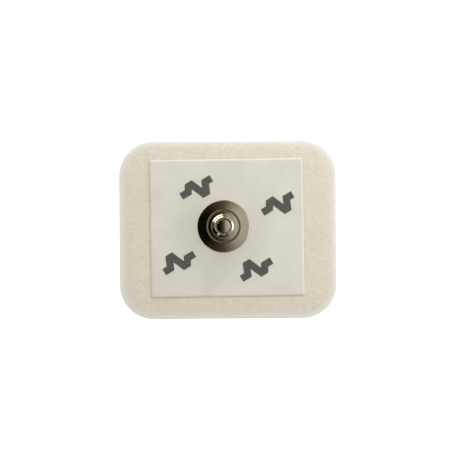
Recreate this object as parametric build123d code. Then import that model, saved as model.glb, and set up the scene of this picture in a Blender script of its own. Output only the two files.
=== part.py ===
"""Disposable ECG monitoring electrode.

A die-cut foam pad sticks to the skin. Its round window holds a conductive gel. A film label
closes the window from above, and a metal snap stud is clenched through the label onto the
post of a plated sensor, whose disc lies in the gel under the label.

Frame: millimetres, +Z away from the skin, origin at the centre of the pad's outline on its
skin face, +X along the pad's longer side. The stud's axis is a little off the pad's centre.
"""

import os

from build123d import *

# Foam pad: closed-cell foam tape, its upper outer edge crushed round by the die
pad_length = 36.4
pad_width = 29.8
pad_thickness = 1.6
pad_corner_radius = 5.75
pad_edge_rounding = 0.6
pad_edge_limit_share = 0.9  # of the pad's thickness, the most that its edge can be rounded
window_diameter = 16.5

# Stud axis, shared by the window, the gel, the sensor and the label's hole
stud_axis_x = -0.75
stud_axis_y = 0.56

# Film label: laid a little askew over the window
label_length = 25.7
label_width = 23.05
label_thickness = 0.25
label_corner_radius = 0.3
label_centre_x = -0.18
label_centre_y = 0.31
label_turn_degrees = 0.45

# Print: one tilted pulse trace at four places, the upper two upside down
mark_length = 5.9
mark_height = 3.6
mark_stroke = 1.2
mark_tilt_degrees = 30.5
ink_thickness = 0.03
# Points of the trace as shares of the mark's length and height
mark_trace_shares = [
    (-0.5, -0.1),
    (-0.29, -0.1),
    (-0.13, 0.5),
    (0.12, -0.5),
    (0.27, -0.1),
    (0.5, -0.1),
]
# Places of the marks as shares of the label's length and width, and whether each is inverted
mark_place_shares = [
    (-0.188, 0.284, True),
    (0.34, 0.158, True),
    (-0.321, -0.237, False),
    (0.182, -0.294, False),
]

# Snap stud: drawn from thin plated sheet, heights measured from the label's upper face
sheet_thickness = 0.25
flange_diameter = 8.8
flange_rim_height = 0.27
flange_rim_radius = 0.15
flange_bend_diameter = 7.1
flange_bend_height = 0.46
flange_bend_radius = 6
crest_diameter = 5.72
crest_height = 0.635
crest_radius = 0.3
moat_diameter = 5.12
moat_height = 0.605
moat_radius = 0.1
neck_diameter = 3.5
neck_base_height = 0.77
neck_base_radius = 0.35
neck_top_height = 1.75
neck_top_radius = 0.3
head_diameter = 4.1
head_base_height = 2.15
head_base_radius = 0.4
head_shoulder_height = 3.05
head_shoulder_radius = 0.15
head_top_diameter = 3.0
head_top_height = 3.45
head_top_radius = 0.6
mouth_diameter = 2.48
mouth_rim_rounding = 0.06

# Sensor: moulded and silver plated, its post swollen inside the stud's head, its tip's height
# measured from the label's upper face
sensor_disc_diameter = 8.6
sensor_disc_thickness = 0.5
sensor_disc_rounding = 0.15
post_tip_height = 3.58
post_dome_height = 0.25
post_dome_rounding = 0.08
swell_rounding = 0.5
swell_lift_share = 0.6  # of the head's base radius, so that the swell clears the curve there

# Clearances
post_clearance = 0.05
gel_clearance = 0.05

# Levels and radii that follow from the sizes above
label_top = pad_thickness + label_thickness
neck_bore_radius = neck_diameter / 2 - sheet_thickness
head_bore_radius = head_diameter / 2 - sheet_thickness
post_radius = neck_bore_radius - post_clearance
swell_radius = head_bore_radius - post_clearance
dome_radius = mouth_diameter / 2 - post_clearance
sensor_disc_top = pad_thickness
sensor_disc_bottom = sensor_disc_top - sensor_disc_thickness

stud_axis = Location((stud_axis_x, stud_axis_y))
label_place = Location((label_centre_x, label_centre_y), label_turn_degrees)


def turned(section):
    """The solid that a face in (radius, height) makes when it turns once about the stud's axis."""
    return stud_axis * revolve(Plane.XZ * section, Axis.Z)


def make_foam_pad():
    """Rounded rectangle of foam with a round window and a crushed upper edge."""
    outline = RectangleRounded(pad_length, pad_width, pad_corner_radius)
    blank = extrude(outline, pad_thickness)
    upper_edges = blank.faces().sort_by(Axis.Z)[-1].outer_wire().edges()
    blank = fillet(upper_edges, min(pad_edge_rounding, pad_thickness * pad_edge_limit_share))
    window = stud_axis * extrude(Circle(window_diameter / 2), pad_thickness)
    return blank - window


def make_gel_pad():
    """Disc of gel, flush with both faces of the foam, with a pocket for the sensor's disc."""
    disc = extrude(Circle(window_diameter / 2 - gel_clearance), pad_thickness)
    pocket_radius = sensor_disc_diameter / 2 + gel_clearance
    pocket_depth = sensor_disc_thickness + gel_clearance
    pocket = extrude(Circle(pocket_radius), pocket_depth)
    return stud_axis * (disc - Pos(0, 0, pad_thickness - pocket_depth) * pocket)


def make_top_label():
    """Film rectangle on the foam, pierced for the sensor's post."""
    film = label_place * RectangleRounded(label_length, label_width, label_corner_radius)
    hole = stud_axis * Circle(post_radius + post_clearance)
    return Pos(0, 0, pad_thickness) * extrude(film - hole, label_thickness)


def make_mark_face():
    """A mitred stroke along the pulse trace, its ends and peaks cut square by the mark's bounds.

    Each mitre is the sum of its two sides' half-stroke vectors a and b, times r^2 / (r^2 + a.b).
    """
    half_stroke = mark_stroke / 2
    points = [Vector(x * mark_length, y * mark_height) for x, y in mark_trace_shares]
    runs = [(end - start).normalized() for start, end in zip(points, points[1:])]
    sides = [run.rotate(Axis.Z, 90) * half_stroke for run in runs]
    side_pairs = zip(sides[:1] + sides, sides + sides[-1:])
    mitres = [(a + b) * (half_stroke**2 / (half_stroke**2 + a.dot(b))) for a, b in side_pairs]
    left = [point + mitre for point, mitre in zip(points, mitres)]
    right = [point - mitre for point, mitre in zip(points, mitres)]
    stroke = Polygon(*right, *reversed(left), align=None)
    return stroke & Rectangle(mark_length, mark_height)


def make_label_print():
    """Four flat ink marks on the label."""
    mark = extrude(make_mark_face(), ink_thickness)
    marks = []
    for along, across, inverted in mark_place_shares:
        turn = mark_tilt_degrees + (180 if inverted else 0)
        place = Location((along * label_length, across * label_width), turn)
        marks.append(Pos(0, 0, label_top) * label_place * place * mark)
    return Compound(children=marks)


def make_snap_stud():
    """Drawn sheet: flared flange, ring-shaped crest and moat, neck, and an open head with a sloped top."""
    outer_face = FilletPolyline(
        (flange_diameter / 2, 0),
        (flange_diameter / 2, flange_rim_height),
        (flange_bend_diameter / 2, flange_bend_height),
        (crest_diameter / 2, crest_height),
        (moat_diameter / 2, moat_height),
        (neck_diameter / 2, neck_base_height),
        (neck_diameter / 2, neck_top_height),
        (head_diameter / 2, head_base_height),
        (head_diameter / 2, head_shoulder_height),
        (head_top_diameter / 2, head_top_height),
        (mouth_diameter / 2, head_top_height),
        radius=[
            flange_rim_radius,
            flange_bend_radius,
            crest_radius,
            moat_radius,
            neck_base_radius,
            neck_top_radius,
            head_base_radius,
            head_shoulder_radius,
            head_top_radius,
        ],
    )
    section = make_face(offset(outer_face, sheet_thickness, side=Side.LEFT).edges())
    mouth_rim = section.vertices().sort_by(Axis.Y)[-2:].sort_by(Axis.X)[0]
    section = fillet(mouth_rim, mouth_rim_rounding)
    return Pos(0, 0, label_top) * turned(section)


def make_sensor():
    """Disc under the label, and a post through it that swells in the stud's head to a domed tip."""
    swell_bottom = label_top + head_base_height + head_base_radius * swell_lift_share
    swell_top = label_top + head_top_height - sheet_thickness - post_clearance
    dome_top = label_top + post_tip_height
    dome_base = dome_top - post_dome_height
    dome_sphere_radius = (dome_radius**2 + post_dome_height**2) / (2 * post_dome_height)
    outline = Polyline(
        (0, sensor_disc_bottom),
        (sensor_disc_diameter / 2, sensor_disc_bottom),
        (sensor_disc_diameter / 2, sensor_disc_top),
        (post_radius, sensor_disc_top),
        (post_radius, swell_bottom),
        (swell_radius, swell_bottom),
        (swell_radius, swell_top),
        (dome_radius, swell_top),
        (dome_radius, dome_base),
    )
    dome = RadiusArc((dome_radius, dome_base), (0, dome_top), -dome_sphere_radius)
    axis_line = Line((0, dome_top), (0, sensor_disc_bottom))
    section = make_face(outline.edges() + dome.edges() + axis_line.edges())
    disc_rims = section.vertices().filter_by(lambda v: v.X > swell_radius + post_clearance)
    section = fillet(disc_rims, sensor_disc_rounding)
    swell_rims = section.vertices().filter_by(
        lambda v: abs(v.X - swell_radius) < post_clearance and v.Y > swell_bottom
    )
    section = fillet(swell_rims, swell_rounding)
    dome_rims = section.vertices().filter_by(
        lambda v: abs(v.X - dome_radius) < post_clearance and v.Y > swell_top + post_clearance
    )
    section = fillet(dome_rims, post_dome_rounding)
    return turned(section)


pieces = {
    "foam_pad": make_foam_pad(),
    "gel_pad": make_gel_pad(),
    "sensor": make_sensor(),
    "top_label": make_top_label(),
    "label_print": make_label_print(),
    "snap_stud": make_snap_stud(),
}

os.makedirs("parts", exist_ok=True)
for name, piece in pieces.items():
    export_step(piece, f"parts/{name}.step")
    print(f"{name}: {len(piece.solids())} solid(s), {piece.volume:.2f} mm3")
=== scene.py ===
import math

import bmesh
import bpy
import numpy as np
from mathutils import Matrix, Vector


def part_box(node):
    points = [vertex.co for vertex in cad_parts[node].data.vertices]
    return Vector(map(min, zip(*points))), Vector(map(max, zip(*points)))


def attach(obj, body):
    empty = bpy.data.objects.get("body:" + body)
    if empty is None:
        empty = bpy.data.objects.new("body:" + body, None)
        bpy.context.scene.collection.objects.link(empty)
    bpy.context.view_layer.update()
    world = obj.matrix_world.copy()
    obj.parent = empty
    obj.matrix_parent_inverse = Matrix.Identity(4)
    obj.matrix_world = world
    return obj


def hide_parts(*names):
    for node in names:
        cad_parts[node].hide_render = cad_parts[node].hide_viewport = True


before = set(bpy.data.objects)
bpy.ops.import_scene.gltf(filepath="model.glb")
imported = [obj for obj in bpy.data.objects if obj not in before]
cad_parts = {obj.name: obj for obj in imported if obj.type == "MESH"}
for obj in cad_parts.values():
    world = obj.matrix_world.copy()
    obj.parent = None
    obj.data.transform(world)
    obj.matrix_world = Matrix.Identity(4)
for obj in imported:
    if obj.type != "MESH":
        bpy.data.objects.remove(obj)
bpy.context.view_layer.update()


# Foam pad: one die-cut piece of closed-cell foam tape, a little over 1.5 mm thick. The cells pebble
# its skin, which the die has pressed down towards the pad's edge, ever steeper until it rolls over,
# and which is painted paler there, as painted light for light that shines through the thin edge.
# Cells are cut open down the side, and the lower face carries the skin adhesive.
mm = 0.001
foam_low, foam_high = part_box("foam_pad")
stud_low, stud_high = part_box("snap_stud")
foam_length = (foam_high.x - foam_low.x) / mm
foam_width = (foam_high.y - foam_low.y) / mm
foam_thickness = foam_high.z / mm
foam_corner_radius = 5.75
foam_edge_rounding = 0.16
foam_window_radius = 8.25
stud_axis = np.array([stud_low.x + stud_high.x, stud_low.y + stud_high.y]) / 2 / mm

foam_columns = 1100
skin_step = 0.12
covered_inset = 5.65
covered_rows = 5
rounded_rows = 15
side_rows = 7
lower_edge_bevel = 0.08
lower_rows = 9

skin_cell = 0.46
skin_relief = 0.03
side_cell = 0.34
side_relief = 0.06
side_relief_start = 0.375
pale_edge_width = 1.9
pale_edge_exponent = 2.4
skin_wave = 7.0
skin_wave_height = 0.03
skin_fall = 0.22
skin_fall_width = 3.5


def round_cornered(length, width, corner, count):
    """Equal steps round a rectangle whose corners are quarter circles.

    Returns for each step the point that its arc is struck from and the outward normal, so that an
    outline inset by d is the first plus (corner - d) times the second. Along a side the struck point
    slides from one corner's centre to the next and the normal stays. Round a corner it is the other way.
    """
    reach = np.array([length / 2 - corner, width / 2 - corner])
    centres = np.array([[1, 1], [-1, 1], [-1, -1], [1, -1]]) * reach
    quarter = corner * math.pi / 2
    spans = np.array([2 * reach[1], quarter, 2 * reach[0], quarter] * 2)
    ends = np.cumsum(spans)
    along = np.arange(count) / count * ends[-1]
    span = np.searchsorted(ends, along, side="right")
    share = (along - ends[span]) / spans[span] + 1
    side = span // 2
    on_corner = span % 2 == 1
    turn = (side + np.where(on_corner, share, 0)) * math.pi / 2
    slide = np.where(on_corner, 1, share)[:, None]
    struck_from = centres[side - 1] * (1 - slide) + centres[side] * slide
    return struck_from, np.stack([np.cos(turn), np.sin(turn)], axis=1)


def lift(flat, heights):
    """Points in space from rows of flat points and one height for each row."""
    tall = np.broadcast_to(np.asarray(heights, float)[:, None, None], flat.shape[:2] + (1,))
    return np.concatenate([flat, tall], axis=-1)


def inset_rows(struck_from, normals, corner, insets, heights):
    """One row round the outline for each pair of inset and height."""
    reach = corner - np.asarray(insets, float)[:, None, None]
    return lift(struck_from + reach * normals, heights)


def rows_between(first, last, shares):
    """Rows that lie those shares of the way from one row of points to another, in straight lines."""
    shares = np.asarray(shares, float)[:, None, None]
    return first * (1 - shares) + last * shares


def circle_facing(flat, centre, radius):
    """The point of a circle nearest to each flat point: radius times the unit vector from its centre."""
    away = flat - centre
    return centre + radius * away / np.linalg.norm(away, axis=-1, keepdims=True)


def cell_mounds(points, size, seed):
    """Height of a pebbled skin, from 0 between cells to 1 at a cell's middle.

    Each cube of a grid of that size holds one seeded point. The height is 1 minus the square of the
    distance to the nearest one, over the square of a cell's usual reach.
    """
    table_size = 48
    cell_reach = 0.85
    jitter = np.random.default_rng(seed).random((table_size,) * 3 + (3,))
    scaled = points / size
    cube = np.floor(scaled).astype(int)
    nearest = np.full(points.shape[:-1], np.inf)
    for offset in np.ndindex(3, 3, 3):
        neighbour = cube + np.array(offset) - 1
        seeded = neighbour + jitter[tuple(np.moveaxis(neighbour % table_size, -1, 0))]
        nearest = np.minimum(nearest, ((scaled - seeded) ** 2).sum(axis=-1))
    return np.clip(1 - nearest / cell_reach**2, 0, 1)


def gentle_waves(flat, wavelength, seed):
    """Slow swell from 0 to 1 across a sheet: the mean of seeded sine waves that run in all directions."""
    wave_count = 9
    shortest, longest = 0.6, 1.6
    random = np.random.default_rng(seed)
    heading = random.uniform(0, 2 * math.pi, wave_count)
    phase = random.uniform(0, 2 * math.pi, wave_count)
    pace = 2 * math.pi / (wavelength * random.uniform(shortest, longest, wave_count))
    along = flat @ np.stack([np.cos(heading), np.sin(heading)])
    return 0.5 + 0.5 * np.sin(along * pace + phase).mean(axis=-1)


def grid_object(name, points, loop=True, attributes=None):
    """A smooth mesh of quads over a grid of points in millimetres, which closes round along each row.

    With loop, the last row also joins the first. Rows that shrink to a point are merged there. The
    faces are turned outwards: the sum of the signed volumes under them is made positive.
    """
    merge_distance = 1e-4 * mm
    sharp_angle = math.radians(50)
    rows, columns = points.shape[:2]
    here = np.arange(rows * columns).reshape(rows, columns)
    after = np.roll(here, -1, axis=0)
    quads = np.stack([here, np.roll(here, -1, axis=1), np.roll(after, -1, axis=1), after], axis=-1)
    quads = (quads if loop else quads[:-1]).reshape(-1, 4)
    places = points.reshape(-1, 3) * mm
    a, b, c, d = (places[quads[:, corner]] for corner in range(4))
    volume = (a * (np.cross(b, c) + np.cross(c, d))).sum()
    if volume < 0:
        quads = quads[:, ::-1]
    mesh = bpy.data.meshes.new(name)
    mesh.from_pydata(places.tolist(), [], quads.tolist())
    for attribute, values in (attributes or {}).items():
        layer = mesh.attributes.new(attribute, "FLOAT", "POINT")
        spread = np.broadcast_to(values, (rows, columns)).astype(np.float32)
        layer.data.foreach_set("value", spread.ravel())
    merged = bmesh.new()
    merged.from_mesh(mesh)
    bmesh.ops.remove_doubles(merged, verts=merged.verts, dist=merge_distance)
    merged.to_mesh(mesh)
    merged.free()
    mesh.polygons.foreach_set("use_smooth", np.ones(len(mesh.polygons), bool))
    mesh.set_sharp_from_angle(angle=sharp_angle)
    made = bpy.data.objects.new(name, mesh)
    bpy.context.scene.collection.objects.link(made)
    return made


# The skin falls by the square of the way to the edge and rolls over in a quarter circle. The cut side
# goes straight down to a small bevel, and the label hides the straight runs to the window.
foam_struck, foam_normals = round_cornered(foam_length, foam_width, foam_corner_radius, foam_columns)
skin_insets = np.arange(covered_inset, foam_edge_rounding, -skin_step)
roll_angles = np.linspace(0, math.pi / 2, rounded_rows)
roll_insets = foam_edge_rounding * (1 - np.sin(roll_angles))
skin_heights, fallen_heights = (
    foam_thickness - skin_fall * np.clip(1 - insets / skin_fall_width, 0, 1) ** 2
    for insets in (skin_insets, roll_insets)
)
roll_heights = fallen_heights - foam_edge_rounding * (1 - np.cos(roll_angles))
side_heights = np.linspace(roll_heights[-1], lower_edge_bevel, side_rows)[1:]
flat_insets = np.linspace(pale_edge_width, covered_inset, lower_rows - 1)
lower_insets = np.append(lower_edge_bevel, flat_insets)

foam_outer = inset_rows(
    foam_struck,
    foam_normals,
    foam_corner_radius,
    np.concatenate([skin_insets, roll_insets, np.zeros(side_rows - 1), lower_insets]),
    np.concatenate([skin_heights, roll_heights, side_heights, np.zeros(lower_rows)]),
)
window_flat = circle_facing(foam_outer[0, :, :2], stud_axis, foam_window_radius)[None]
window_heights = np.linspace(0, foam_thickness, covered_rows)
window_wall = lift(np.repeat(window_flat, covered_rows, axis=0), window_heights)
hidden_shares = np.arange(1, covered_rows) / covered_rows
foam_points = np.concatenate([
    rows_between(window_wall[-1], foam_outer[0], hidden_shares),
    foam_outer,
    rows_between(foam_outer[-1], window_wall[0], hidden_shares),
    window_wall,
])

# The grid's rows: the covered top, the skin, the rolled edge, the cut side, the lower face and the window
skin_start = covered_rows - 1
roll_start = skin_start + len(skin_insets)
side_start = roll_start + rounded_rows
lower_start = side_start + side_rows - 1
foam_row = np.arange(len(foam_points))
on_roll = np.clip((foam_row - roll_start) / (rounded_rows - 1), 0, 1) * (foam_row < lower_start)
on_skin = (foam_row >= skin_start) & (foam_row < lower_start)
row_normals = np.zeros_like(foam_points)
row_normals[..., :2] = np.sin(on_roll * math.pi / 2)[:, None, None] * foam_normals
row_normals[..., 2] = np.cos(on_roll * math.pi / 2)[:, None]

# Pebbles and slow waves lower the skin, and cut cells the side. The two kinds blend along the roll,
# from its relief start on.
skin_depth = skin_relief * (1 - cell_mounds(foam_points, skin_cell, seed=11))
side_depth = side_relief * cell_mounds(foam_points, side_cell, seed=12) ** 2
wave_depth = skin_wave_height * gentle_waves(foam_points[..., :2], skin_wave, seed=13)
row_insets = np.full(len(foam_points), covered_inset)
row_insets[skin_start:roll_start] = skin_insets
row_insets[roll_start:side_start] = roll_insets
row_insets[side_start:lower_start] = 0
side_share = np.clip((on_roll - side_relief_start) / (1 - side_relief_start), 0, 1)[:, None]
depth = (skin_depth + wave_depth) * (1 - side_share) + side_depth * side_share
foam_points -= (depth * on_skin[:, None])[..., None] * row_normals
# Painted light: the skin's colour is painted paler and less yellow towards the edge, for light that
# shines through the thin foam there
painted_edge_light_share = (1 - np.clip(row_insets / pale_edge_width, 0, 1)) ** pale_edge_exponent
glued_share = (foam_row >= lower_start + 1) & (foam_row < len(foam_points) - covered_rows + 1)

foam_tape = grid_object("foam_tape", foam_points, attributes={
    "painted_edge_light_share": painted_edge_light_share[:, None],
    "glued_share": glued_share[:, None],
})


def linear(hex_colour):
    """Linear RGBA of an sRGB hex colour: each channel c is ((c + 0.055) / 1.055) to the power 2.4."""
    channels = [int(hex_colour[at:at + 2], 16) / 255 for at in (1, 3, 5)]
    return tuple(((c + 0.055) / 1.055) ** 2.4 for c in channels) + (1.0,)


def set_inputs(tree, node, inputs):
    """Gives each named input of a node its value, or a link where the value is another node's output."""
    for name, value in inputs.items():
        if isinstance(value, bpy.types.NodeSocket):
            tree.links.new(value, node.inputs[name])
        else:
            node.inputs[name].default_value = value


def add_node(tree, kind, settings, inputs):
    """Adds one node with its settings by name, and with values or links in its inputs.

    Inputs whose names repeat go by number. A mix takes its share at 0, two numbers at 2 and 3 or two
    colours at 6 and 7. A map range takes a value at 0 and runs it from 1 and 2 onto 3 and 4.
    """
    made = tree.nodes.new(kind)
    for name, value in settings.items():
        setattr(made, name, value)
    set_inputs(tree, made, inputs)
    return made


def new_material(piece, name):
    """A material of that name in the piece's only slot. Returns its tree and its surface shader."""
    material = bpy.data.materials.new(name)
    material.use_nodes = True
    piece.data.materials.clear()
    piece.data.materials.append(material)
    return material.node_tree, material.node_tree.nodes["Principled BSDF"]


# Skinned polyethylene foam: matt and off-white, mottled where cells lie deeper. Towards the edge it is
# painted paler and less yellow, as painted light for light that shines through the thin foam there, and
# the acrylic glue below makes it smoother and a little warmer.
foam_mottle_size = 0.45 * mm
foam_patch_size = 4.5 * mm
foam_pore_size = 0.2 * mm
foam_pore_depth = 0.012 * mm

foam_tree, foam_shader = new_material(foam_tape, "skinned closed-cell foam")
foam_place = add_node(foam_tree, "ShaderNodeTexCoord", {}, {}).outputs["Object"]
foam_mottle = add_node(foam_tree, "ShaderNodeTexNoise", {}, {
    "Vector": foam_place, "Scale": 1 / foam_mottle_size, "Detail": 3.0, "Roughness": 0.6,
})
foam_patches = add_node(foam_tree, "ShaderNodeTexNoise", {}, {
    "Vector": foam_place, "Scale": 1 / foam_patch_size, "Detail": 2.0,
})
foam_cream = add_node(foam_tree, "ShaderNodeMix", {"data_type": "RGBA"}, {
    0: foam_mottle.outputs["Fac"], 6: linear("#C8C2AE"), 7: linear("#E6E0D2"),
})
foam_aged = add_node(foam_tree, "ShaderNodeMix", {"data_type": "RGBA", "blend_type": "MULTIPLY"}, {
    0: foam_patches.outputs["Fac"], 6: foam_cream.outputs[2], 7: linear("#FBF8F2"),
})
edge_light = add_node(foam_tree, "ShaderNodeAttribute", {"attribute_name": "painted_edge_light_share"}, {})
glued = add_node(foam_tree, "ShaderNodeAttribute", {"attribute_name": "glued_share"}, {})
# Painted light: the pale edge colour, mixed in by the painted edge light share
foam_edged = add_node(foam_tree, "ShaderNodeMix", {"data_type": "RGBA"}, {
    0: edge_light.outputs["Fac"], 6: foam_aged.outputs[2], 7: linear("#E6E5DE"),
})
foam_colour = add_node(foam_tree, "ShaderNodeMix", {"data_type": "RGBA"}, {
    0: glued.outputs["Fac"], 6: foam_edged.outputs[2], 7: linear("#D9CFB0"),
})
foam_gloss = add_node(foam_tree, "ShaderNodeMapRange", {}, {
    0: glued.outputs["Fac"], 3: 0.82, 4: 0.3,
})
foam_pores = add_node(foam_tree, "ShaderNodeTexVoronoi", {"feature": "SMOOTH_F1"}, {
    "Vector": foam_place, "Scale": 1 / foam_pore_size,
})
foam_bump = add_node(foam_tree, "ShaderNodeBump", {"invert": True}, {
    "Strength": 0.6, "Distance": foam_pore_depth, "Height": foam_pores.outputs["Distance"],
})
set_inputs(foam_tree, foam_shader, {
    "Base Color": foam_colour.outputs[2],
    "Roughness": foam_gloss.outputs[0],
    "Normal": foam_bump.outputs[0],
    "Specular IOR Level": 0.3,
})

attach(foam_tape, "root")
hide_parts("foam_pad")


# Gel: a disc of tacky conductive hydrogel that fills the foam's window and wets its wall. It is as
# thick as the foam, and the sensor's disc is pressed into it from above.
gel_low, gel_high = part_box("gel_pad")
gel_radius = (gel_high.x - gel_low.x) / 2 / mm
gel_segments = 160
gel_lip_width = 0.7
gel_lip_depth = 0.12
gel_lip_rows = 12
gel_face_rows = 9
sensor_low, sensor_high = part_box("sensor")
sensor_radius = (sensor_high.x - sensor_low.x) / 2 / mm
sensor_base = sensor_low.z / mm
gel_clearance = 0.05


def turned(centre, radii, heights, segments):
    """Points swept once round a vertical axis: each radius and height of a section makes one row."""
    angles = np.arange(segments) / segments * 2 * math.pi
    spokes = np.stack([np.cos(angles), np.sin(angles)], axis=1)
    return lift(centre + np.asarray(radii, float)[:, None, None] * spokes, heights)


# The lower face rises by a cosine next to its rim, where the gel has crept up the foam's wall
lip_shares = np.linspace(0, 1, gel_lip_rows)
lip_radii = gel_radius - gel_lip_width * lip_shares
lip_heights = gel_lip_depth * (0.5 + 0.5 * np.cos(math.pi * lip_shares))
gel_face_radii = np.linspace(gel_radius - gel_lip_width, 0, gel_face_rows + 1)[1:]
pocket_radius = sensor_radius + gel_clearance
pocket_floor = sensor_base - gel_clearance
gel_section = np.array(
    [(0, pocket_floor), (pocket_radius / 2, pocket_floor), (pocket_radius, pocket_floor)]
    + [(pocket_radius, foam_thickness), ((pocket_radius + gel_radius) / 2, foam_thickness)]
    + [(gel_radius, foam_thickness), (gel_radius, foam_thickness / 2)]
    + list(zip(lip_radii, lip_heights))
    + [(radius, 0) for radius in gel_face_radii]
)
gel_points = turned(stud_axis, gel_section[:, 0], gel_section[:, 1], gel_segments)
gel_disc = grid_object("gel_disc", gel_points, loop=False)

# Hydrogel: mostly water, so it is wet to the eye and half clear, faintly blue-green and milky, with
# soft clouds where it set unevenly.
gel_cloud_size = 2.5 * mm
gel_ripple_depth = 0.03 * mm

gel_tree, gel_shader = new_material(gel_disc, "conductive hydrogel")
gel_place = add_node(gel_tree, "ShaderNodeTexCoord", {}, {}).outputs["Object"]
gel_clouds = add_node(gel_tree, "ShaderNodeTexNoise", {}, {
    "Vector": gel_place, "Scale": 1 / gel_cloud_size, "Detail": 3.0,
})
gel_colour = add_node(gel_tree, "ShaderNodeMix", {"data_type": "RGBA"}, {
    0: gel_clouds.outputs["Fac"], 6: linear("#DCE8E2"), 7: linear("#EEF2EC"),
})
gel_ripple = add_node(gel_tree, "ShaderNodeBump", {}, {
    "Strength": 0.5, "Distance": gel_ripple_depth, "Height": gel_clouds.outputs["Fac"],
})
set_inputs(gel_tree, gel_shader, {
    "Base Color": gel_colour.outputs[2],
    "Normal": gel_ripple.outputs[0],
    "Roughness": 0.12,
    "IOR": 1.38,
    "Transmission Weight": 0.45,
})

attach(gel_disc, "root")
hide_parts("gel_pad")


# Sensor: moulded plastic, plated with silver. Its disc lies in the gel, and its post is pressed up
# through the label into the stud, where it swells in the head and ends in a domed tip.
turned_segments = 192
sensor_top = sensor_high.z / mm
label_low, label_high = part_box("top_label")
label_top = label_high.z / mm
sensor_disc_rounding = 0.15
stud_sheet = 0.25
stud_neck_radius = 1.75
stud_head_radius = 2.05
stud_head_base = 2.15
stud_mouth_radius = 1.28
stud_height = stud_high.z / mm - label_top
post_clearance = 0.05
tip_gap = 0.09
post_radius = stud_neck_radius - stud_sheet - post_clearance
swell_radius = stud_head_radius - stud_sheet - post_clearance
swell_lift = 0.24
swell_rounding = 0.5
swell_foot_rounding = 0.04
post_corner_rounding = 0.02
post_step = 0.2
tip_radius = stud_mouth_radius - tip_gap
tip_dome = 0.25
tip_rounding = 0.14
tip_rows = 24
swell_bottom = label_top + stud_head_base + swell_lift
swell_top = label_top + stud_height - stud_sheet - post_clearance


def rounded_run(corners, radii, step):
    """Points and left-hand normals along straight runs joined by arcs.

    The arc at a corner touches both runs at its radius times the tangent of half the turn from the
    corner. Straight runs and arcs are both cut into even pieces no longer than step.
    """
    least_arc_pieces = 6
    corners = np.asarray(corners, float)
    runs = np.diff(corners, axis=0)
    headings = np.arctan2(runs[:, 1], runs[:, 0])
    turns = (np.diff(headings) + math.pi) % (2 * math.pi) - math.pi
    radii = np.asarray(radii, float)
    cuts = radii * np.tan(np.abs(turns) / 2)
    ways = np.stack([np.cos(headings), np.sin(headings)], axis=1)
    lefts = np.stack([-ways[:, 1], ways[:, 0]], axis=1)
    points, normals = [], []
    for at in range(len(runs)):
        start = corners[at] + ways[at] * (cuts[at - 1] if at > 0 else 0)
        end = corners[at + 1] - ways[at] * (cuts[at] if at < len(turns) else 0)
        pieces = max(1, math.ceil(np.linalg.norm(end - start) / step))
        points.append(start + np.linspace(0, 1, pieces + 1)[:, None] * (end - start))
        normals.append(np.repeat(lefts[at:at + 1], pieces + 1, axis=0))
        if at < len(turns):
            pieces = max(least_arc_pieces, math.ceil(radii[at] * abs(turns[at]) / step))
            swept = headings[at] + turns[at] * np.arange(1, pieces) / pieces
            swept_lefts = np.stack([-np.sin(swept), np.cos(swept)], axis=1)
            signed_radius = math.copysign(radii[at], turns[at])
            hub = end + signed_radius * lefts[at]
            points.append(hub - signed_radius * swept_lefts)
            normals.append(swept_lefts)
    return np.concatenate(points), np.concatenate(normals)


def split_outline(outline):
    """Corners and roundings of an outline that names each corner's radius, height and rounding."""
    corners = [(radius, height) for radius, height, _ in outline.values()]
    return corners, [rounding for *_, rounding in outline.values()]


# The tip is part of a sphere. Its rim is rounded over the dome's first two steps.
tip_sphere = (tip_radius**2 + tip_dome**2) / (2 * tip_dome)
tip_angles = np.linspace(math.asin(tip_radius / tip_sphere), 0, tip_rows)
tip_section = np.stack([
    tip_sphere * np.sin(tip_angles),
    sensor_top - tip_sphere * (1 - np.cos(tip_angles)),
], axis=1)
post_outline = {
    "disc's underside": (0, sensor_base, 0),
    "disc's lower rim": (sensor_radius, sensor_base, sensor_disc_rounding),
    "disc's upper rim": (sensor_radius, foam_thickness, sensor_disc_rounding),
    "post's foot": (post_radius, foam_thickness, post_corner_rounding),
    "neck under the swell": (post_radius, swell_bottom, post_corner_rounding),
    "swell's foot": (swell_radius, swell_bottom, swell_foot_rounding),
    "swell's shoulder": (swell_radius, swell_top, swell_rounding),
    "tip's foot": (tip_radius, swell_top, post_corner_rounding),
    "tip's rim": (*tip_section[0], tip_rounding),
    "dome's start": (*tip_section[2], 0),
}
post_corners, post_roundings = split_outline(post_outline)
post_section, _ = rounded_run(post_corners, post_roundings[1:-1], post_step)
sensor_section = np.concatenate([post_section, tip_section[3:]])
sensor_post = grid_object(
    "sensor_post",
    turned(stud_axis, sensor_section[:, 0], sensor_section[:, 1], turned_segments),
    loop=False,
)

# Silver plate on plastic: satin, warm from a light tarnish, with a fine grain from the mould. The grain
# is drawn coarser than the real one, so that it shows.
sensor_grain_size = 0.12 * mm
sensor_grain_depth = 0.004 * mm
sensor_tarnish_size = 0.9 * mm

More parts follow.
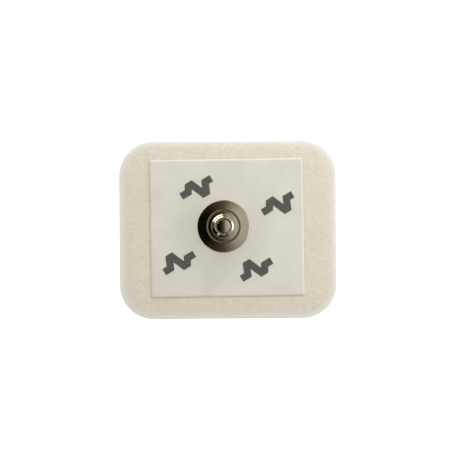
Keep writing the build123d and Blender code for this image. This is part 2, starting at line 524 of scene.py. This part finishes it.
sensor_tree, sensor_shader = new_material(sensor_post, "silver plate on moulded plastic")
sensor_place = add_node(sensor_tree, "ShaderNodeTexCoord", {}, {}).outputs["Object"]
sensor_grain = add_node(sensor_tree, "ShaderNodeTexNoise", {}, {
    "Vector": sensor_place, "Scale": 1 / sensor_grain_size, "Detail": 3.0,
})
sensor_tarnish = add_node(sensor_tree, "ShaderNodeTexNoise", {}, {
    "Vector": sensor_place, "Scale": 1 / sensor_tarnish_size, "Detail": 2.0,
})
sensor_colour = add_node(sensor_tree, "ShaderNodeMix", {"data_type": "RGBA"}, {
    0: sensor_tarnish.outputs["Fac"], 6: linear("#C9C1AC"), 7: linear("#D6D0BF"),
})
sensor_gloss = add_node(sensor_tree, "ShaderNodeMapRange", {}, {
    0: sensor_grain.outputs["Fac"], 3: 0.1, 4: 0.18,
})
sensor_bump = add_node(sensor_tree, "ShaderNodeBump", {}, {
    "Strength": 0.3, "Distance": sensor_grain_depth, "Height": sensor_grain.outputs["Fac"],
})
set_inputs(sensor_tree, sensor_shader, {
    "Base Color": sensor_colour.outputs[2],
    "Roughness": sensor_gloss.outputs[0],
    "Normal": sensor_bump.outputs[0],
    "Metallic": 1.0,
})

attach(sensor_post, "root")
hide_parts("sensor")


# Label: a near-square of off-white polyethylene film that closes the window from above. It is laid
# by machine a fraction of a degree askew, and its die-cut edges are pressed down to soft shoulders.
label_length = 25.7
label_width = 23.05
label_corner_radius = 0.3
label_turn = math.radians(0.45)
label_centre = np.array([label_low.x + label_high.x, label_low.y + label_high.y]) / 2 / mm
label_columns = 560
label_rows = 56
label_base_rows = 5
shoulder_width = 0.25
shoulder_drop = 0.12
shoulder_exponent = 1.6
shoulder_rows = 9
label_wave = 6.5
label_wave_height = 0.014
rim_rounding = 0.04
rim_cut = 0.012
dim_start_radius = 6.5
dim_end_radius = 11.5

# The shoulders drop by a power of the way to the rim, and a slow ripple lowers the upper face. The
# share of darkening fades out by a cosine of the distance from the stud's axis.
label_struck, label_normals = round_cornered(
    label_length, label_width, label_corner_radius, label_columns
)
shoulder_shares = np.linspace(0, 1, shoulder_rows)
shoulder_insets = rim_rounding + shoulder_width * (1 - shoulder_shares)
shoulder_heights = label_top - shoulder_drop * shoulder_shares**shoulder_exponent
rim_insets = [rim_cut, 0, 0, rim_rounding]
rim_heights = [
    shoulder_heights[-1] - rim_cut,
    shoulder_heights[-1] - rim_rounding,
    foam_thickness + rim_rounding,
    foam_thickness,
]
label_outer = inset_rows(
    label_struck,
    label_normals,
    label_corner_radius,
    np.concatenate([shoulder_insets, rim_insets]),
    np.concatenate([shoulder_heights, rim_heights]),
)
turned_x = np.array([math.cos(label_turn), math.sin(label_turn)])
turned_y = np.array([-turned_x[1], turned_x[0]])
label_x, label_y = label_outer[..., :1], label_outer[..., 1:2]
label_outer[..., :2] = label_centre + label_x * turned_x + label_y * turned_y
hole_radius = post_radius + post_clearance
hole_flat = circle_facing(label_outer[0, :, :2], stud_axis, hole_radius)[None]
hole_top, hole_bottom = lift(np.repeat(hole_flat, 2, axis=0), [label_top, foam_thickness])
label_points = np.concatenate([
    rows_between(hole_top, label_outer[0], np.linspace(0, 1, label_rows)[:-1]),
    label_outer,
    rows_between(label_outer[-1], hole_bottom, np.linspace(0, 1, label_base_rows)[1:]),
])
label_row = np.arange(len(label_points))
shoulder_start = label_rows - 1
shoulder_end = shoulder_start + shoulder_rows
ripple = label_wave_height * gentle_waves(label_points[..., :2], label_wave, seed=21)
label_points[..., 2] -= ripple * (label_row < shoulder_end)[:, None]
above_base = label_row < shoulder_end + len(rim_insets)
rim_share = np.clip((label_row - shoulder_start) / shoulder_rows, 0, 1) * above_base
from_stud = np.linalg.norm(label_points[..., :2] - stud_axis, axis=-1)
past_gel = np.clip((from_stud - dim_start_radius) / (dim_end_radius - dim_start_radius), 0, 1)
stud_dim_share = 0.5 + 0.5 * np.cos(math.pi * past_gel)
label_film = grid_object("label_film", label_points, attributes={
    "rim_share": rim_share[:, None],
    "stud_dim_share": stud_dim_share,
})

# Polyethylene film: satin and smooth, a greyer white than the foam, with the faint cloudiness of a
# cast film and a grain that is drawn coarser than the real one, so that it shows. Its colour is softly
# darker round the stud's axis, and paler and creamier towards its cut rim.
label_cloud_size = 5.0 * mm
label_grain_size = 0.35 * mm
label_grain_depth = 0.006 * mm

label_tree, label_shader = new_material(label_film, "cast polyethylene film")
label_place = add_node(label_tree, "ShaderNodeTexCoord", {}, {}).outputs["Object"]
label_clouds = add_node(label_tree, "ShaderNodeTexNoise", {}, {
    "Vector": label_place, "Scale": 1 / label_cloud_size, "Detail": 3.0,
})
label_grain = add_node(label_tree, "ShaderNodeTexNoise", {}, {
    "Vector": label_place, "Scale": 1 / label_grain_size, "Detail": 2.0,
})
label_white = add_node(label_tree, "ShaderNodeMix", {"data_type": "RGBA"}, {
    0: label_clouds.outputs["Fac"], 6: linear("#CAC6B9"), 7: linear("#E1DDD1"),
})
label_rim = add_node(label_tree, "ShaderNodeAttribute", {"attribute_name": "rim_share"}, {})
label_near_stud = add_node(label_tree, "ShaderNodeAttribute", {"attribute_name": "stud_dim_share"}, {})
label_dimmed = add_node(label_tree, "ShaderNodeMix", {"data_type": "RGBA", "blend_type": "MULTIPLY"}, {
    0: label_near_stud.outputs["Fac"], 6: label_white.outputs[2], 7: linear("#F9F9F8"),
})
label_colour = add_node(label_tree, "ShaderNodeMix", {"data_type": "RGBA"}, {
    0: label_rim.outputs["Fac"], 6: label_dimmed.outputs[2], 7: linear("#DFDAC6"),
})
label_gloss = add_node(label_tree, "ShaderNodeMapRange", {}, {
    0: label_grain.outputs["Fac"], 3: 0.42, 4: 0.52,
})
label_bump = add_node(label_tree, "ShaderNodeBump", {}, {
    "Strength": 0.3, "Distance": label_grain_depth, "Height": label_grain.outputs["Fac"],
})
set_inputs(label_tree, label_shader, {
    "Base Color": label_colour.outputs[2],
    "Roughness": label_gloss.outputs[0],
    "Normal": label_bump.outputs[0],
    "Specular IOR Level": 0.35,
})

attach(label_film, "root")
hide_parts("top_label")


# Print: four pulse traces in one dark grey ink, laid on the film by a rubber plate, which leaves the
# ink a little thin in spots.
label_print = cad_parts["label_print"]

# Flexographic ink: dark, warm grey and half matt, and paler and duller where it is thin.
ink_spot_size = 0.3 * mm

ink_tree, ink_shader = new_material(label_print, "flexographic ink")
ink_place = add_node(ink_tree, "ShaderNodeTexCoord", {}, {}).outputs["Object"]
ink_spots = add_node(ink_tree, "ShaderNodeTexNoise", {}, {
    "Vector": ink_place, "Scale": 1 / ink_spot_size, "Detail": 4.0, "Roughness": 0.65,
})
ink_colour = add_node(ink_tree, "ShaderNodeMix", {"data_type": "RGBA"}, {
    0: ink_spots.outputs["Fac"], 6: linear("#2F2E2B"), 7: linear("#6E6B66"),
})
ink_gloss = add_node(ink_tree, "ShaderNodeMapRange", {}, {
    0: ink_spots.outputs["Fac"], 3: 0.4, 4: 0.6,
})
set_inputs(ink_tree, ink_shader, {
    "Base Color": ink_colour.outputs[2],
    "Roughness": ink_gloss.outputs[0],
})


# Stud: drawn in one piece from thin nickel-plated sheet and clenched onto the sensor's post, so that
# its flared flange sinks a little into the soft film. The lead clip's spring grips the neck, and the
# head's sheet ends in a low rolled bead round the open mouth.
flange_radius = (stud_high.x - stud_low.x) / 2 / mm
flange_sink = 0.16
stud_outline = {
    "flange's foot": (flange_radius, -flange_sink, 0),
    "flange's rim": (flange_radius, 0.27 - flange_sink, 0.15),
    "flange's bend": (3.55, 0.46 - flange_sink, 6),
    "crest": (2.86, 0.635 - flange_sink, 0.3),
    "groove": (2.56, 0.605 - flange_sink, 0.1),
    "neck's foot": (stud_neck_radius, 0.77 - flange_sink, 0.35),
    "neck's top": (stud_neck_radius, 1.75, 0.3),
    "head's base": (stud_head_radius, stud_head_base, 0.4),
    "head's shoulder": (stud_head_radius, 3.05, 0.1),
    "slope's top": (1.79, 3.275, 0.06),
    "bead's foot": (1.7, 3.295, 0.08),
    "bead's edge": (1.46, stud_height, 0.1),
    "mouth's rim": (stud_mouth_radius, stud_height, 0.14),
}
stud_step = 0.06
rubbed_rings = [(1.35, 1.0), (2.7, 0.3)]
rubbed_half_width = 0.12

# The inner face follows the outer one at the sheet's thickness, and the mouth's wall joins the two
stud_corners, stud_roundings = split_outline(stud_outline)
stud_face, stud_inward = rounded_run(stud_corners, stud_roundings[1:-1], stud_step)
mouth_foot = (stud_mouth_radius, stud_height - stud_sheet)
stud_outer, _ = rounded_run(stud_corners + [mouth_foot], stud_roundings[1:], stud_step)
stud_section = np.concatenate([stud_outer, (stud_face + stud_sheet * stud_inward)[::-1]])
rubbed_share = sum(
    share * np.exp(-((stud_section[:, 0] - radius) / rubbed_half_width) ** 2)
    for radius, share in rubbed_rings
)
stud_shell = grid_object(
    "stud_shell",
    turned(stud_axis, stud_section[:, 0], label_top + stud_section[:, 1], turned_segments),
    attributes={"rubbed_share": rubbed_share[:, None]},
)

# Nickel plate on drawn steel: bright and warm grey, with faint rings from the punch and a slight
# haze, so that reflections blur a little round the stud, and more where other studs rub it: on the
# crest and on the mouth's rim.
stud_ring_width = 0.09 * mm
stud_ring_depth = 0.002 * mm
stud_haze_size = 0.6 * mm

stud_tree, stud_shader = new_material(stud_shell, "nickel plate on drawn steel")
stud_place = add_node(stud_tree, "ShaderNodeTexCoord", {}, {}).outputs["Object"]
stud_centred = add_node(stud_tree, "ShaderNodeMapping", {}, {
    "Vector": stud_place, "Location": (-stud_axis[0] * mm, -stud_axis[1] * mm, 0),
})
stud_flat = add_node(stud_tree, "ShaderNodeVectorMath", {"operation": "MULTIPLY"}, {
    0: stud_centred.outputs[0], 1: (1.0, 1.0, 0.0),
})
stud_reach = add_node(stud_tree, "ShaderNodeVectorMath", {"operation": "LENGTH"}, {
    0: stud_flat.outputs[0],
})
stud_rings = add_node(stud_tree, "ShaderNodeTexNoise", {"noise_dimensions": "1D"}, {
    "W": stud_reach.outputs["Value"], "Scale": 1 / stud_ring_width, "Detail": 2.0,
})
stud_haze = add_node(stud_tree, "ShaderNodeTexNoise", {}, {
    "Vector": stud_place, "Scale": 1 / stud_haze_size, "Detail": 3.0,
})
stud_colour = add_node(stud_tree, "ShaderNodeMix", {"data_type": "RGBA"}, {
    0: stud_haze.outputs["Fac"], 6: linear("#D0C1AB"), 7: linear("#D3D1BB"),
})
stud_gloss = add_node(stud_tree, "ShaderNodeMapRange", {}, {
    0: stud_haze.outputs["Fac"], 3: 0.1, 4: 0.18,
})
stud_rubbed = add_node(stud_tree, "ShaderNodeAttribute", {"attribute_name": "rubbed_share"}, {})
stud_roughness = add_node(stud_tree, "ShaderNodeMix", {"data_type": "FLOAT"}, {
    0: stud_rubbed.outputs["Fac"], 2: stud_gloss.outputs[0], 3: 0.6,
})
stud_bump = add_node(stud_tree, "ShaderNodeBump", {}, {
    "Strength": 0.25, "Distance": stud_ring_depth, "Height": stud_rings.outputs["Fac"],
})
set_inputs(stud_tree, stud_shader, {
    "Base Color": stud_colour.outputs[2],
    "Roughness": stud_roughness.outputs[0],
    "Normal": stud_bump.outputs[0],
    "Metallic": 1.0,
})

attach(stud_shell, "root")
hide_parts("snap_stud")


# Floor: a wide white sheet just under the electrode. To the camera, in reflections and through the gel
# it glows up to plain white, and where the electrode touches it a thin shadow is left. It is clear from
# below and to rays that start within a hair's breadth of it, so that the underside shows and is lit.
floor_half_side = 3.0
floor_gap = 0.02 * mm
floor_blind_length = 0.3 * mm
floor_glow_strength = 0.6
floor_mesh = bpy.data.meshes.new("floor")
floor_corners = [
    (along * floor_half_side, across * floor_half_side, -floor_gap)
    for along, across in ((-1, -1), (1, -1), (1, 1), (-1, 1))
]
floor_mesh.from_pydata(floor_corners, [], [(0, 1, 2, 3)])
floor = bpy.data.objects.new("floor", floor_mesh)
bpy.context.scene.collection.objects.link(floor)
floor_tree, floor_shader = new_material(floor, "white paper")
floor_rays = add_node(floor_tree, "ShaderNodeLightPath", {}, {})
floor_seen = add_node(floor_tree, "ShaderNodeMath", {"operation": "MAXIMUM"}, {
    0: floor_rays.outputs["Is Camera Ray"], 1: floor_rays.outputs["Is Glossy Ray"],
})
floor_shown = add_node(floor_tree, "ShaderNodeMath", {"operation": "MAXIMUM"}, {
    0: floor_seen.outputs[0], 1: floor_rays.outputs["Is Transmission Ray"],
})
floor_glow = add_node(floor_tree, "ShaderNodeMath", {"operation": "MULTIPLY"}, {
    0: floor_shown.outputs[0], 1: floor_glow_strength,
})
set_inputs(floor_tree, floor_shader, {
    "Base Color": linear("#E7E7E7"),
    "Roughness": 1.0,
    "Specular IOR Level": 0.0,
    "Emission Color": linear("#FFFFFF"),
    "Emission Strength": floor_glow.outputs[0],
})
floor_near = add_node(floor_tree, "ShaderNodeMath", {"operation": "LESS_THAN"}, {
    0: floor_rays.outputs["Ray Length"], 1: floor_blind_length,
})
floor_face = add_node(floor_tree, "ShaderNodeNewGeometry", {}, {})
floor_unseen = add_node(floor_tree, "ShaderNodeMath", {"operation": "MAXIMUM"}, {
    0: floor_near.outputs[0], 1: floor_face.outputs["Backfacing"],
})
floor_clear = add_node(floor_tree, "ShaderNodeBsdfTransparent", {}, {})
floor_surface = add_node(floor_tree, "ShaderNodeMixShader", {}, {
    0: floor_unseen.outputs[0], 1: floor_shader.outputs[0], 2: floor_clear.outputs[0],
})
set_inputs(floor_tree, floor_tree.nodes["Material Output"], {"Surface": floor_surface.outputs[0]})


# Light: a soft box close above the upper edge of the view, one to the right, a weaker one to the upper
# left, and an even sky for all that is matt. Bright metal doesn't see these: it mirrors a studio of its
# own, drawn on the sky, that is dark to the left and has soft panels and a dark doorway.
soft_box_zenith_angle = 60
soft_boxes = [
    # name, picture angle, distance, side, level
    ("upper_soft_box", 74, 0.13, 0.145, 0.7),
    ("right_soft_box", -5, 0.2, 0.2, 0.465),
    ("left_soft_box", 135, 0.3, 0.2, 0.215),
]
matt_sky_level = 0.51
seen_sky_level = 1.0
room_black_level = 0.004
room_dim_level = 0.085
room_bright_gain = 0.48
room_upward_gain = 0.25
room_horizon_share = 0.55
room_dim_span = (-0.42, 0.08)
room_bright_span = (-0.04, 0.42)
room_horizon_span = (0.15, 0.5)
room_tone_span = (-0.2, 0.35)
room_dark_tone = (1.0, 0.84, 0.55, 1.0)
room_bright_tone = (1.0, 0.98, 0.93, 1.0)
panel_softness = 0.25
soft_panels = [
    # picture angle, zenith angle, half width, half height, radiance
    (124, 72, 0.46, 0.25, 2.3),
    (2, 62, 0.38, 0.22, 2.0),
    (238, 66, 0.08, 0.1, 1.7),
    (172, 70, 0.32, 0.24, 0.13),
]
# The doorway is laid out the same way, but ends with the share of the room's light that it takes away
doorway_panel = (290, 70, 0.21, 0.22, 0.97)


def way_to(picture_angle, zenith_angle):
    """Unit vector to a place in the sky.

    It rises by the cosine of the zenith angle and reaches out by its sine, along the picture angle,
    which turns from the right of the view.
    """
    across, down = math.radians(picture_angle), math.radians(zenith_angle)
    return Vector((math.sin(down) * math.cos(across), math.sin(down) * math.sin(across), math.cos(down)))


def add_soft_box(name, away, distance, side, level):
    """A square lamp that faces the pad. Level 1 lights a sheet square to it to plain white.

    A lamp of P watts at d metres lights such a sheet to a radiance of P / (pi d)^2. Its distance and
    its side are in metres.
    """
    lamp = bpy.data.lights.new(name, "AREA")
    lamp.shape = "SQUARE"
    lamp.size = side
    lamp.energy = level * (math.pi * distance) ** 2
    placed = bpy.data.objects.new(name, lamp)
    placed.location = away * distance
    placed.rotation_mode = "QUATERNION"
    placed.rotation_quaternion = away.to_track_quat("Z", "Y")
    placed.visible_glossy = False
    bpy.context.scene.collection.objects.link(placed)


for name, picture_angle, distance, side, level in soft_boxes:
    add_soft_box(name, way_to(picture_angle, soft_box_zenith_angle), distance, side, level)

sky = bpy.data.worlds.new("studio")
bpy.context.scene.world = sky
sky.use_nodes = True
sky.cycles.sampling_method = "NONE"
sky_tree = sky.node_tree
sky_shader = sky_tree.nodes["Background"]
sky_way = add_node(sky_tree, "ShaderNodeTexCoord", {}, {}).outputs["Generated"]
sky_parts = add_node(sky_tree, "ShaderNodeSeparateXYZ", {}, {0: sky_way})


def smooth_step(value, start, end, low, high):
    """A value of the sky that runs from low at start to high at end.

    It has gone 3 t^2 - 2 t^3 of the way up where the other value has gone the share t of the way.
    """
    made = add_node(sky_tree, "ShaderNodeMapRange", {"interpolation_type": "SMOOTHSTEP"}, {
        0: value, 1: start, 2: end, 3: low, 4: high,
    })
    return made.outputs[0]


def combined(operation, first, second):
    """Two values of the sky joined by a sum, a product or the like."""
    made = add_node(sky_tree, "ShaderNodeMath", {"operation": operation}, {0: first, 1: second})
    return made.outputs[0]


def part_along(axis):
    """The sky direction's component along an axis: their dot product."""
    made = add_node(sky_tree, "ShaderNodeVectorMath", {"operation": "DOT_PRODUCT"}, {0: sky_way, 1: axis})
    return made.outputs["Value"]


def sky_panel(picture_angle, zenith_angle, half_width, half_height, radiance):
    """Radiance of a soft-edged rectangle in the sky, whose half sides are sines of angles.

    It is the radiance times one smooth step each way, which falls from 1 to 0 over the panel's
    softness either side of the edge, and nothing in the half of the sky that lies behind.
    """
    away = way_to(picture_angle, zenith_angle)
    sideways = Vector((-away.y, away.x, 0)).normalized()
    level = radiance
    for axis, half in ((sideways, half_width), (away.cross(sideways), half_height)):
        reach = combined("ABSOLUTE", part_along(axis), 0.0)
        inner, outer = half * (1 - panel_softness), half * (1 + panel_softness)
        level = combined("MULTIPLY", smooth_step(reach, inner, outer, 1.0, 0.0), level)
    return combined("MULTIPLY", combined("GREATER_THAN", part_along(away), 0.0), level)


# The room is near black at the left, dim across the middle and bright at the right. It brightens
# towards the top of the view, dims towards the horizon and warms towards the left. Each span is a
# range of the sky direction's X, or of its Z for the horizon.
dim_level = smooth_step(sky_parts.outputs["X"], *room_dim_span, room_black_level, room_dim_level)
bright_level = smooth_step(sky_parts.outputs["X"], *room_bright_span, 0.0, room_bright_gain)
room_level = combined("ADD", dim_level, bright_level)
upward = combined("ADD", combined("MULTIPLY", sky_parts.outputs["Y"], room_upward_gain), 1.0)
horizon = smooth_step(sky_parts.outputs["Z"], *room_horizon_span, room_horizon_share, 1.0)
lit_room = combined("MULTIPLY", room_level, combined("MULTIPLY", upward, horizon))
open_wall = combined("SUBTRACT", 1.0, sky_panel(*doorway_panel))
room = combined("MULTIPLY", lit_room, open_wall)
brightness_share = smooth_step(sky_parts.outputs["X"], *room_tone_span, 0.0, 1.0)
room_tone = add_node(sky_tree, "ShaderNodeMix", {"data_type": "RGBA"}, {
    0: brightness_share, 6: room_dark_tone, 7: room_bright_tone,
})
tinted_room = add_node(sky_tree, "ShaderNodeVectorMath", {"operation": "SCALE"}, {
    0: room_tone.outputs[2], "Scale": room,
})
panels = sky_panel(*soft_panels[0])
for soft_panel in soft_panels[1:]:
    panels = combined("ADD", panels, sky_panel(*soft_panel))
mirrored = add_node(sky_tree, "ShaderNodeVectorMath", {"operation": "ADD"}, {
    0: tinted_room.outputs[0], 1: panels,
})

sky_rays = add_node(sky_tree, "ShaderNodeLightPath", {}, {})
sky_plain = add_node(sky_tree, "ShaderNodeMix", {"data_type": "FLOAT"}, {
    0: sky_rays.outputs["Is Camera Ray"], 2: matt_sky_level, 3: seen_sky_level,
})
sky_light = add_node(sky_tree, "ShaderNodeMix", {"data_type": "RGBA"}, {
    0: sky_rays.outputs["Is Glossy Ray"], 6: sky_plain.outputs[0], 7: mirrored.outputs[0],
})
set_inputs(sky_tree, sky_shader, {"Color": sky_light.outputs[2]})


# Camera: looks straight down from half a metre through a long lens. It stands a little off the pad's
# centre and is turned by a fraction of a degree, which frames the pad as the photograph does.
photo_side_pixels = 458
photo_pixels_per_mm = 5.95
pad_centre_pixel = np.array([227.5, 229.1])
picture_turn = math.radians(0.45)
camera_height = 500 * mm
outline_height = 0.4 * mm
nearest_seen = 0.01
farthest_seen = 20

camera_lens = bpy.data.cameras.new("camera")
camera = bpy.data.objects.new("camera", camera_lens)
bpy.context.scene.collection.objects.link(camera)
bpy.context.scene.camera = camera
view_width = photo_side_pixels / photo_pixels_per_mm * mm
camera_lens.lens = camera_lens.sensor_width * (camera_height - outline_height) / view_width
off_centre = ((photo_side_pixels - 1) / 2 - pad_centre_pixel) / photo_pixels_per_mm * mm
camera.location = (off_centre[0], -off_centre[1], camera_height)
camera.rotation_euler = (0, 0, -picture_turn)
camera_lens.clip_start = nearest_seen
camera_lens.clip_end = farthest_seen

bpy.context.scene.view_settings.view_transform = "Standard"
